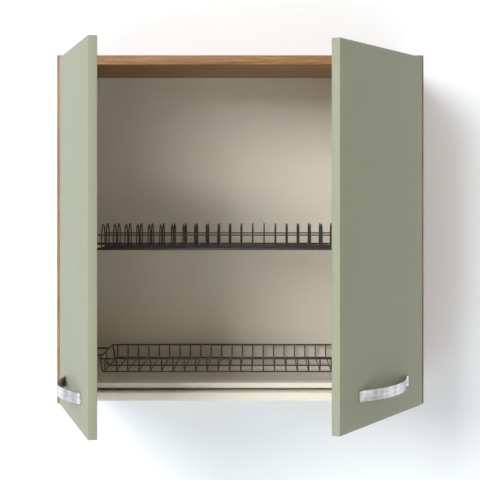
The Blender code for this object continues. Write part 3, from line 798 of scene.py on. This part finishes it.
def makeTray(finish):
    depth = cabinet["depth"]
    up = floorZ + tray["up"]
    front, back = tray["basinFront"] - depth, tray["basinBack"] - depth
    half = innerHalf - tray["basinSide"]
    rim = roundedLoop(innerHalf - tray["sideGap"], tray["frontDepth"] - depth, tray["backDepth"] - depth, up,
                      tray["cornerRound"])
    basin = roundedLoop(half, front, back, up, tray["basinRound"])
    piece = joinPieces("moulded_drip_tray", [rim, basin])
    pickIn(piece, "EDGE")
    bpy.ops.mesh.bridge_edge_loops()
    leaveEdit()

    def atBasin(edge):
        return all(abs(v.co.x) < half + spare and front - spare < v.co.y < back + spare
                   for v in edge.verts)

    pickIn(piece, "EDGE", lambda edge: edge.is_boundary and not atBasin(edge))
    bpy.ops.mesh.extrude_region_move(TRANSFORM_OT_translate={"value": (0, 0, -tray["height"])})
    leaveEdit()
    high = up - spare
    pickIn(piece, "EDGE", lambda edge: edge.is_boundary and atBasin(edge) and edge.verts[0].co.z > high)
    bpy.ops.mesh.extrude_region_move(TRANSFORM_OT_translate={"value": (0, 0, -tray["basinDepth"])})
    middle = (0, (front + back) / 2, up)
    bpy.ops.transform.resize(value=(tray["draft"], tray["draft"], 1), center_override=middle)
    bpy.ops.mesh.edge_face_add()
    leaveEdit()
    outwards(piece)
    floor = max(piece.data.polygons, key=lambda face: face.area)
    if floor.normal.z < 0:
        pickIn(piece, "FACE")
        bpy.ops.mesh.flip_normals()
        leaveEdit()
    thicken(piece, tray["wall"], -1)
    softenEdges(piece, tray["edgeRound"], segments=3)
    smooth(piece, degrees=40)
    dress(piece, finish, "drip_tray", "cream_plastic", "drip_tray")


makeTray(creamPlastic)
print("drip tray made")


# Plastic fittings on the side panels: the runners, the rack's clips and the basket's cradles

fitting = {"edge": 0.0008, "underRound": 0.0045, "clearance": 0.0003, "slotMouth": 0.0006}


def makeBlock(name, node, axis):  # a block on a frame piece's box, its lower edges along the axis rounded
    low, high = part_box(node)
    block = startBox(name, low, high)
    under = low[2] + spare
    softenEdges(block, fitting["underRound"], 5,
                lambda edge: all(v.co.z < under for v in edge.verts) and runsAlong(edge, axis))
    return block, Vector(low), Vector(high)


def carveSeat(block, mouth, seat, radius):  # a rod's seat, open at its top
    combine(block, startBox("mouth", *mouth))
    combine(block, startRod("seat", *seat, radius))
    softenEdges(block, fitting["slotMouth"], test=bent(limits["steep"]))
    smooth(block, degrees=30)


def makeRunners(finish):
    for name in ("left", "right"):
        makeBoard(name + "_runner_strip", name + "_tray_runner", finish, "cream_plastic", fitting["edge"], 3)


def makeClips(finish):
    z = floorZ + rack["up"]
    cut = rack["railRadius"] + fitting["clearance"]
    for row, depth in (("front", rack["frontDepth"]), ("back", rack["backDepth"])):
        y = depth - cabinet["depth"]
        for side in (-1, 1):
            name = sideName(side) + "_" + row
            clip, low, high = makeBlock(name + "_rail_clip", name + "_rack_clip", 0)
            inward = low.x - spare if side > 0 else high.x + spare
            end = side * (innerHalf - rack["endGap"] + fitting["clearance"])
            carveSeat(clip, ((inward, y - cut, z), (end, y + cut, high.z + spare)),
                      ((inward, y, z), (end, y, z)), cut)
            dress(clip, finish, "carcass", "cream_plastic", name + "_rack_clip")


def makeCradles(finish):
    z = floorZ + basket["rimUp"]
    cut = basket["earRadius"] + fitting["clearance"]
    for side in (-1, 1):
        name = sideName(side)
        cradle, low, high = makeBlock(name + "_ear_cradle", name + "_basket_cradle", 1)
        x = side * (innerHalf - rack["endGap"] - basket["earRadius"])
        near, far = low.y - spare, high.y + spare
        carveSeat(cradle, ((x - cut, near, z), (x + cut, far, high.z + spare)),
                  ((x, near, z), (x, far, z)), cut)
        dress(cradle, finish, "carcass", "cream_plastic", name + "_basket_cradle")


makeRunners(creamPlastic)
makeClips(creamPlastic)
makeCradles(creamPlastic)
print("side fittings made")


# Screws: a domed head with a cross recess, pointing along a direction

screw = {"crossWidth": 0.0009, "crossShare": 0.62, "crossDepth": 0.0009, "domeShare": 0.7}


def makeScrew(seat, heading, values):
    radius, height = values["screwRadius"], values["screwHeight"]
    heading = Vector(heading).normalized()
    seat = Vector(seat)
    head = startRod("screw", seat, seat + heading * height, radius, sides=28)
    softenEdges(head, height * screw["domeShare"], 4,
                lambda edge: all((v.co - seat).dot(heading) > height * limits["end"] for v in edge.verts))
    side = heading.orthogonal().normalized()
    reach = radius * screw["crossShare"]
    for along in (side, heading.cross(side)):
        across = heading.cross(along)
        bar = startBox("bar", (-reach, -screw["crossWidth"] / 2, -screw["crossDepth"]),
                       (reach, screw["crossWidth"] / 2, screw["crossDepth"]))
        turn = Matrix((along, across, heading)).transposed().to_4x4()
        bar.matrix_world = Matrix.Translation(seat + heading * height) @ turn
        settle(bar)
        outwards(bar)
        combine(head, bar)
    smooth(head)
    return head


handleScrew = {"screwRadius": 0.0042, "screwHeight": 0.0022, "shank": 0.0020}


def makeHandleScrew(side, label, sign, finish):
    name = sideName(side)
    across = doorWidth / 2 + sign * handle["spacing"] / 2
    face = doorInner + cabinet["gap"]
    height = floorZ + handle["up"]
    head = makeScrew(doorPoint(side, across, face, height), (0, 1, 0), handleScrew)
    shank = doorRod("shank", side, across, face + cabinet["gap"], doorOuter, height, handleScrew["shank"],
                    sides=16)
    piece = joinPieces(f"{name}_{label}_screw", [head, shank])
    hangOnDoor(piece, side, finish, "brushed_steel", f"{name}_{label}_handle_screw")


bumper = {"radius": 0.004, "thickness": 0.0013, "sideDistance": 0.020, "dome": 0.0010}


def makeBumper(side, level, height, finish):
    name = sideName(side)
    across = doorWidth - bumper["sideDistance"]
    face = doorInner + cabinet["gap"]
    pad = doorRod(f"{name}_{level}_bumper_pad", side, across, face, face + bumper["thickness"], height,
                  bumper["radius"])
    end = face - hinge["cupPivotBack"] + bumper["thickness"] * limits["end"]
    softenEdges(pad, bumper["dome"], segments=4, test=lambda edge: all(v.co.y > end for v in edge.verts))
    smooth(pad, degrees=40)
    hangOnDoor(pad, side, finish, "clear_rubber", f"{name}_{level}_bumper")


screwSteel = makeMetal("screw steel")
clearRubber = makePlain("clear rubber")

for side in (-1, 1):
    for sign, label in ((-1, "inner"), (1, "outer")):
        makeHandleScrew(side, label, sign, screwSteel)
    makeBumper(side, "upper", roofZ - cabinet["top"] / 2, clearRubber)
    makeBumper(side, "lower", floorZ + cabinet["bottomRaise"] + cabinet["bottom"] / 2, clearRubber)
print("screws and bumpers made")


# Hinges: a cup with its flange and pin in the door, a cranked link, and an arm clipped on its mounting plate

cup = {"fit": 0.0003, "wall": 0.0010, "floor": 0.0008, "rim": 0.0006, "flangeStart": 0.0105,
       "flangeEnd": 0.0325, "flangeHalf": 0.031, "flangeThickness": 0.0012, "flangeRound": 0.0085,
       "screwOut": 0.024, "screwRadius": 0.0034, "screwHeight": 0.0010, "pinRadius": 0.00125,
       "pinInset": 0.0004, "edge": 0.0002}
link = {"shares": ((0.0, 0.0), (-0.03, 0.18), (0.08, 0.32), (0.28, 0.43), (0.53, 0.44), (0.75, 0.30),
                   (1.0, 0.0)), "thickness": 0.0016, "half": 0.0060, "eyeRadius": 0.00285,
        "boreRadius": 0.00165, "finer": 4, "edge": 0.0003, "armPivotIn": 0.030, "armPivotBack": 0.003}
arm = {"face": 0.0334, "screws": (0.0245, 0.0520), "screwRadius": 0.0033, "screwHeight": 0.0014,
       "edge": 0.0004}
plate = {"face": 0.0193, "back": 0.037, "screwOut": 0.016, "screwRadius": 0.0040, "screwHeight": 0.0016,
         "edge": 0.0005}


def carcassPoint(side, across, back, up):
    return Vector((side * (cabinet["width"] / 2 - door["reveal"] - across), back - cabinet["depth"], up))


def makeCup(side, level, height, finish):
    name = sideName(side)
    low = doorInner - hinge["boreDepth"] + cup["fit"]
    radius = hinge["boreRadius"] - cup["fit"]
    inner = radius - cup["wall"]
    flangeLow = doorInner + cup["fit"]
    flangeHigh = flangeLow + cup["flangeThickness"]
    body = doorRod(f"{name}_{level}_cup", side, hinge["centreIn"], low, doorInner + cup["rim"], height,
                   radius, sides=64)
    flange = startBox("flange", doorPoint(side, cup["flangeStart"], flangeLow, height - cup["flangeHalf"]),
                      doorPoint(side, cup["flangeEnd"], flangeHigh, height + cup["flangeHalf"]))
    softenEdges(flange, cup["flangeRound"], segments=8, test=lambda edge: runsAlong(edge, 1))
    combine(body, flange, "UNION")
    combine(body, doorRod("hollow", side, hinge["centreIn"], low + cup["floor"], flangeHigh + spare,
                          height, inner, sides=64))
    softenEdges(body, cup["edge"], test=sharpEdges)
    smooth(body)
    reach = math.sqrt(inner ** 2 - (hinge["centreIn"] - hinge["cupPivotIn"]) ** 2) + cup["pinInset"]
    ends = [doorPoint(side, hinge["cupPivotIn"], hinge["cupPivotBack"], height + sign * reach)
            for sign in (-1, 1)]
    pin = startRod("pin", *ends, cup["pinRadius"], sides=20)
    smooth(pin, degrees=40)
    pieces = [body, pin]
    for sign in (-1, 1):
        seat = doorPoint(side, hinge["centreIn"], flangeHigh, height + sign * cup["screwOut"])
        pieces.append(makeScrew(seat, (0, 1, 0), cup))
    made = joinPieces(body.name, pieces)
    hangOnDoor(made, side, finish, "hinge_steel", f"{name}_{level}_hinge_cup")


def linkLine():  # the link's middle line through its named points, with extra points on a smooth curve
    start = Vector((hinge["cupPivotIn"], hinge["cupPivotBack"]))
    span = Vector((link["armPivotIn"], link["armPivotBack"])) - start
    across = Vector((span.y, -span.x))
    spots = [start + span * a + across * b for a, b in link["shares"]]
    line = []
    for i in range(len(spots) - 1):
        before, here, there, after = (spots[max(0, min(len(spots) - 1, i + k))] for k in (-1, 0, 1, 2))
        for step in range(link["finer"]):
            t = step / link["finer"]
            line.append(here + (there - before) * (t / 2)
                        + (before * 2 - here * 5 + there * 4 - after) * (t * t / 2)
                        + (here * 3 - there * 3 + after - before) * (t ** 3 / 2))
    return line + [spots[-1]]


def makeLink(side, level, height, finish):
    name = sideName(side)
    out, back = link["armPivotIn"], link["armPivotBack"]
    line = [Vector((side * (out - spot.x), spot.y - back, height)) for spot in linkLine()]
    strip = startStrip(f"{name}_{level}_link", line, link["half"])
    thicken(strip, link["thickness"])
    outwards(strip)
    up = Vector((0, 0, link["half"]))
    for end in (line[0], line[-1]):
        combine(strip, startRod("eye", end - up, end + up, link["eyeRadius"]), "UNION")
    over = Vector((0, 0, spare))
    for end in (line[0], line[-1]):
        combine(strip, startRod("eye_bore", end - up - over, end + up + over, link["boreRadius"]))
    softenEdges(strip, link["edge"], test=sharpEdges)
    smooth(strip)
    pivot = Vector(jointNamed(name + "_hinge_link_turn")["pos_m"])
    turned = fullTurn(side) * linkShare(side)
    strip.matrix_world = Matrix.Translation(pivot) @ Matrix.Rotation(-side * turned, 4, "Z")
    settle(strip)
    dress(strip, finish, name + "_hinge_links", "hinge_steel", f"{name}_{level}_hinge_link")


def makeScrewed(side, node, name, values, seats, finish):  # a frame piece with the screws that hold it
    pieces = [refineNode(node, name, values["edge"])]
    pieces += [makeScrew(seat, (-side, 0, 0), values) for seat in seats]
    dress(joinPieces(name, pieces), finish, "carcass", "hinge_steel", node)


def makeArmAndPlate(side, level, height, finish):
    name = f"{sideName(side)}_{level}"
    seats = [carcassPoint(side, arm["face"], back, height) for back in arm["screws"]]
    makeScrewed(side, name + "_hinge_arm", name + "_arm", arm, seats, finish)
    seats = [carcassPoint(side, plate["face"], plate["back"], height + sign * plate["screwOut"])
             for sign in (-1, 1)]
    makeScrewed(side, name + "_mounting_plate", name + "_plate", plate, seats, finish)


nickel = makeMetal("nickel")
for side in (-1, 1):
    for level, height in hingeHeights.items():
        makeCup(side, level, height, nickel)
        makeLink(side, level, height, nickel)
        makeArmAndPlate(side, level, height, nickel)
print("hinges made")


# Hanging brackets in the top back corners

hanger = {"width": 0.032, "height": 0.062, "depth": 0.022, "round": 0.0016, "recessRadius": 0.0045,
          "recessDepth": 0.0040, "dropShares": (0.0, 0.52), "hookDrop": 0.018, "hookThickness": 0.0025,
          "hookHeight": 0.022, "hookTail": 0.014, "screwRadius": 0.0040, "screwHeight": 0.0018,
          "edge": 0.0004}


def makeHanger(side, plastic, steel):
    name = sideName(side)
    gap = cabinet["gap"]
    x = side * (innerHalf - gap - hanger["width"] / 2)
    top = roofZ - cabinet["top"] - gap
    z = top - hanger["hookDrop"]
    back = -cabinet["back"] - gap
    face = back - hanger["depth"]
    box = startBox(name + "_hanger_box", (x - hanger["width"] / 2, face, top - hanger["height"]),
                   (x + hanger["width"] / 2, back, top))
    softenEdges(box, hanger["round"], 4, lambda edge: any(v.co.y < back - spare for v in edge.verts))
    half = hanger["hookThickness"] / 2 + gap
    tall = hanger["hookHeight"] / 2
    slot = startBox("slot", (x - half, back - hanger["hookTail"] - gap, z - tall - gap),
                    (x + half, back + spare, z + tall + gap))
    combine(box, slot)
    places = [z - share * hanger["height"] for share in hanger["dropShares"]]
    for up in places:
        cut = startRod("recess", (x, face - spare, up), (x, face + hanger["recessDepth"], up),
                       hanger["recessRadius"], sides=40)
        combine(box, cut)
    softenEdges(box, hanger["edge"], test=sharpEdges)
    smooth(box, degrees=30)
    dress(box, plastic, "carcass", "cream_plastic", name + "_hanger_housing")
    depth = face + hanger["recessDepth"] - gap
    screws = [makeScrew((x, depth, up), (0, -1, 0), hanger) for up in places]
    dress(joinPieces(name + "_hanger_adjusters", screws), steel, "carcass", "hinge_steel")
    hook = refineNode(name + "_hanger_hook", name + "_hook", hanger["edge"])
    dress(hook, steel, "carcass", "hinge_steel", name + "_hanger_hook")


for side in (-1, 1):
    makeHanger(side, creamPlastic, nickel)
print("hangers made")


# Camera, fitted to the photograph's view

camera = {"place": (0.0461, -2.9359, 0.0862), "lens": 89.865, "sensor": 36.0, "shift": (-0.0446, -0.1045)}


def makeCamera():
    made = bpy.data.cameras.new("camera")
    made.lens = camera["lens"]
    made.sensor_width = camera["sensor"]
    made.shift_x, made.shift_y = camera["shift"]
    holder = bpy.data.objects.new("camera", made)
    holder.location = camera["place"]
    holder.rotation_euler = (math.radians(90), 0, 0)
    enlist(holder)
    bpy.context.scene.camera = holder


# Wall, floor and lamps

studio = {"wallHalf": 6.0, "wallTop": 4.0, "wallBack": 0.001, "floorZ": -1.78, "floorFront": -7.0,
          "wallColour": linear(241, 246, 252), "wallGlow": 0.10, "world": 0.075, "surround": 0.85,
          "wallRough": 0.9, "openInset": 0.003, "skyColour": linear(255, 243, 222), "strips": 0.22,
          "stripDark": 0.30, "overhead": 0.75}

white = (1.0, 1.0, 1.0)
warm = (1.0, 0.94, 0.83)

# Each lamp: where it shines from, how far off it hangs, its size, its power and its colour
lamps = {"key": ((-0.47, -0.80, 0.38), 9.0, 4.2, 630.0, white),
         "top": ((0.0, -0.45, 0.90), 4.5, 2.0, 30.0, warm),
         "right": ((0.75, -0.65, 0.15), 5.0, 3.0, 30.0, warm),
         "low": ((0.0, -1.0, -0.30), 5.0, 3.0, 30.0, warm),
         "behind": ((-0.45, 0.80, 0.30), 4.5, 2.6, 90.0, white)}


def makeWallFinish():  # the wall is seen from its front only, and glows a little where the camera sees it
    finish = Finish("studio wall", **{"Base Color": studio["wallColour"], "Roughness": studio["wallRough"]})
    seen = (finish.ray("Camera") + finish.ray("Glossy")) * studio["wallGlow"]
    glow = finish.add("ShaderNodeEmission", {}, {"Color": (1, 1, 1, 1), "Strength": seen})
    lit = finish.add("ShaderNodeAddShader", {}, {0: Signal(finish, finish.shader.outputs[0]), 1: glow})
    clear = finish.add("ShaderNodeBsdfTransparent", {}, {})
    behind = finish.add("ShaderNodeNewGeometry", {}, {}, "Backfacing")
    shown = finish.add("ShaderNodeMixShader", {}, {0: behind, 1: lit, 2: clear})
    finish.feed(finish.tree.nodes["Material Output"].inputs["Surface"], shown)
    return finish.material


def makeSheet(name, low, high, upright):  # a flat sheet across X, standing on the wall or lying on the floor
    sheet = begin(name, bpy.ops.mesh.primitive_plane_add, size=1)
    sheet.scale = (high[0] - low[0], high[1] - low[1], 1)
    middle = [(a + b) / 2 for a, b in zip(low, high)]
    if upright:
        sheet.rotation_euler = (math.radians(90), 0, 0)
        sheet.location = (middle[0], studio["wallBack"], middle[1])
    else:
        sheet.location = (middle[0], middle[1], studio["floorZ"])
    settle(sheet)
    return sheet


def makeStage():  # the wall is open where the cabinet hides it, so that the cabinet's back is lit too
    wide, tall = studio["wallHalf"], studio["wallTop"]
    ground = studio["floorZ"]
    x, z = cabinet["width"] / 2 - studio["openInset"], cabinet["height"] / 2 - studio["openInset"]
    sheets = [makeSheet("studio_wall_left", (-wide, ground), (-x, tall), True),
              makeSheet("studio_wall_right", (x, ground), (wide, tall), True),
              makeSheet("studio_wall_above", (-x, z), (x, tall), True),
              makeSheet("studio_wall_below", (-x, ground), (x, -z), True),
              makeSheet("studio_floor", (-wide, studio["floorFront"]), (wide, -studio["floorFront"]), False)]
    finish = makeWallFinish()
    for sheet in sheets:
        sheet.data.materials.append(finish)


def makeSky():  # what is seen and mirrored is paler, and what metal mirrors has strips and a dark top
    world = bpy.data.worlds.new("world")
    bpy.context.scene.world = world
    world.use_nodes = True
    nodes = Nodes(world.node_tree)
    sky = nodes.tree.nodes["Background"]
    where = nodes.add("ShaderNodeTexCoord", {}, {}, "Generated")
    strips = nodes.add("ShaderNodeTexWave", {}, {"Vector": where, "Scale": studio["strips"]}, "Fac")
    height = nodes.add("ShaderNodeSeparateXYZ", {}, {0: where}, 2)
    cameraRay, glossyRay, clearRay = (nodes.ray(kind) for kind in ("Camera", "Glossy", "Transmission"))
    mirrored = (1 - height * studio["overhead"]) * (studio["stripDark"] + strips * (1 - studio["stripDark"]))
    paler = (cameraRay + clearRay + glossyRay * mirrored) * studio["surround"]
    nodes.feed(sky.inputs["Strength"], paler + studio["world"])
    tint = nodes.blend(cameraRay + clearRay + glossyRay, studio["skyColour"], (1, 1, 1, 1))
    nodes.feed(sky.inputs["Color"], tint)


def makeLamps():
    for name, (away, distance, size, power, colour) in lamps.items():
        lamp = bpy.data.lights.new(name, "AREA")
        lamp.size = size
        lamp.energy = power
        lamp.color = colour
        holder = bpy.data.objects.new(name, lamp)
        away = Vector(away).normalized()
        holder.location = away * distance
        holder.rotation_euler = away.to_track_quat("Z", "Y").to_euler()
        enlist(holder)


makeCamera()
makeStage()
makeSky()
makeLamps()
bpy.context.scene.view_settings.view_transform = "Standard"
print("stage set")
